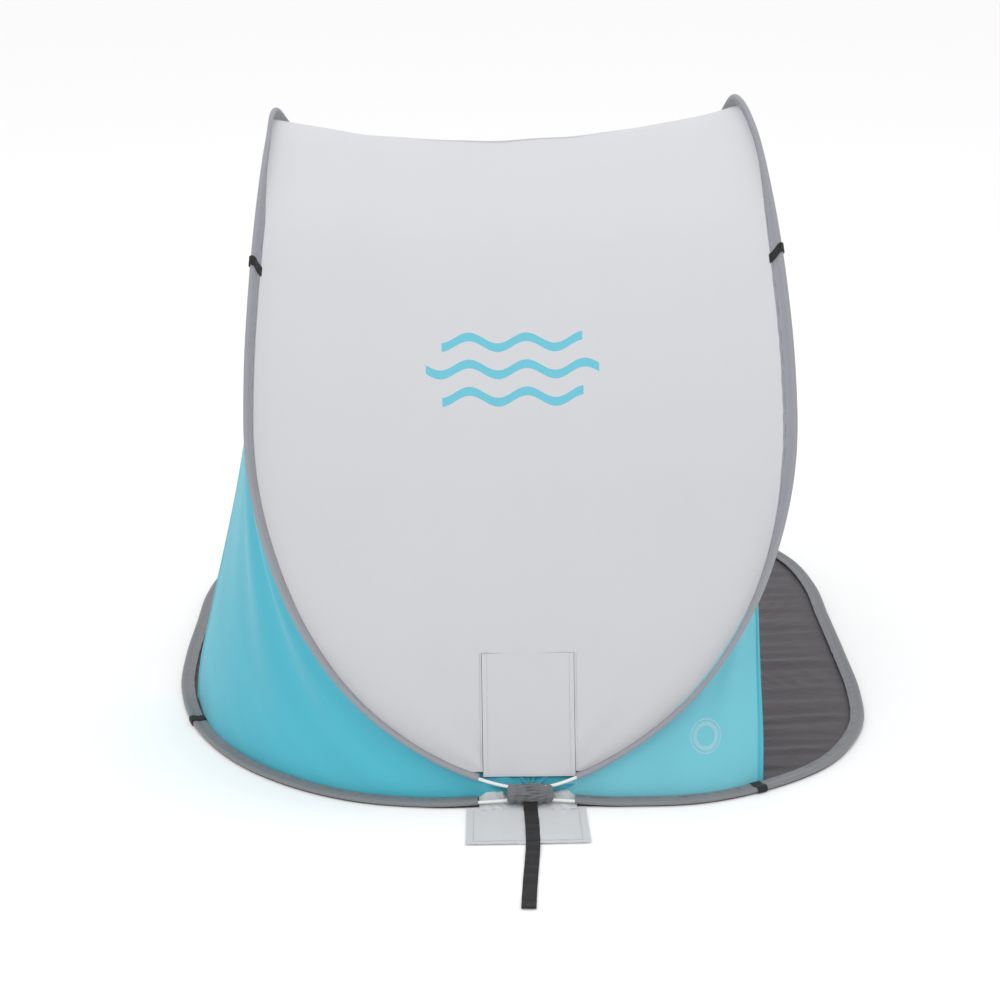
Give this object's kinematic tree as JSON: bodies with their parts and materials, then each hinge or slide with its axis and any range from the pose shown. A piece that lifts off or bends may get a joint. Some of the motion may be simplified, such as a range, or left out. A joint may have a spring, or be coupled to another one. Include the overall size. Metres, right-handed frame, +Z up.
{
  "type": "pop-up beach shelter",
  "caption": "Self-erecting fabric beach shelter: a canopy hoop and a floor hoop of flexible rod cross at a rear hub, with a silver canopy, side walls, groundsheet and fold strap.",
  "frame": {"origin": "on the ground under the rear hub, where the two hoops cross", "axes": "+X to the right as seen from behind, +Y from the hub towards the open front, +Z up"},
  "size_m": [1.4013, 1.6565, 1.1624],
  "materials": {
    "rod": "white glass-fibre rod with faint lengthwise fibres",
    "ferrule": "brushed steel tube with crimp rings",
    "sleeve": "mid-grey polyester rod sleeve, plain weave, stitched inner edge",
    "groundsheet": "dark grey coated polyester with fine creases",
    "canopy": "pale silver coated polyester, soft sheen",
    "wall": "turquoise polyester, slightly translucent",
    "hub_wrap": "grey polyester gathered over the crossing rods",
    "webbing": "black polypropylene webbing, ribbed",
    "cover_flap": "light grey coated polyester with stitched hems"
  },
  "bodies": {
    "base": {"floor_rod_right": "rod", "floor_rod_left": "rod", "floor_ferrule_front": "ferrule", "floor_ferrule_rear": "ferrule", "floor_sleeve_right": "sleeve", "floor_sleeve_left": "sleeve", "groundsheet": "groundsheet", "wall_left": "wall", "wall_right": "wall", "rear_gusset": "wall", "hub_wrap": "hub_wrap", "strap_anchor": "webbing", "floor_loop_left": "webbing", "floor_loop_right": "webbing"},
    "canopy": {"canopy_rod_right": "rod", "canopy_rod_left": "rod", "canopy_ferrule_rear": "ferrule", "canopy_sleeve_right": "sleeve", "canopy_sleeve_left": "sleeve", "canopy_panel": "canopy", "canopy_loop_left": "webbing", "canopy_loop_right": "webbing"},
    "visor": {"visor_rod_right": "rod", "visor_rod_left": "rod", "visor_ferrule_front": "ferrule", "visor_sleeve": "sleeve", "visor_panel": "canopy"},
    "tongue": {"panel_tongue": "canopy"},
    "flap": {"hub_cover_flap": "cover_flap"},
    "strap": {"fold_strap": "webbing"}
  },
  "joints": [
    {"name": "canopy_fold", "type": "hinge", "parent": "base", "child": "canopy", "pos_m": [0, 0.002, 0.03], "axis": [-1, 0, 0], "range_deg": [0, 56], "stiffness_Nm_per_rad": 8, "springref_deg": -57.3, "deforming": ["wall_left", "wall_right", "rear_gusset"]},
    {"name": "visor_unfold", "type": "hinge", "parent": "canopy", "child": "visor", "pos_m": [0, 0.71, 1.158], "axis": [1, 0, 0], "range_deg": [0, 85]},
    {"name": "tongue_lift", "type": "hinge", "parent": "canopy", "child": "tongue", "pos_m": [0, 0.1237, 0.2557], "axis": [-1, 0, 0], "range_deg": [0, 60]},
    {"name": "flap_lift", "type": "hinge", "parent": "base", "child": "flap", "pos_m": [0, -0.03, 0.001], "axis": [-1, 0, 0], "range_deg": [0, 85]},
    {"name": "strap_swing", "type": "hinge", "parent": "flap", "child": "strap", "pos_m": [0, -0.03, 0.005], "axis": [0, 0, 1], "range_deg": [-35, 35]}
  ],
  "couplings": [
    {"joint": "visor_unfold", "follows": "canopy_fold", "ratio": 1.5}
  ]
}
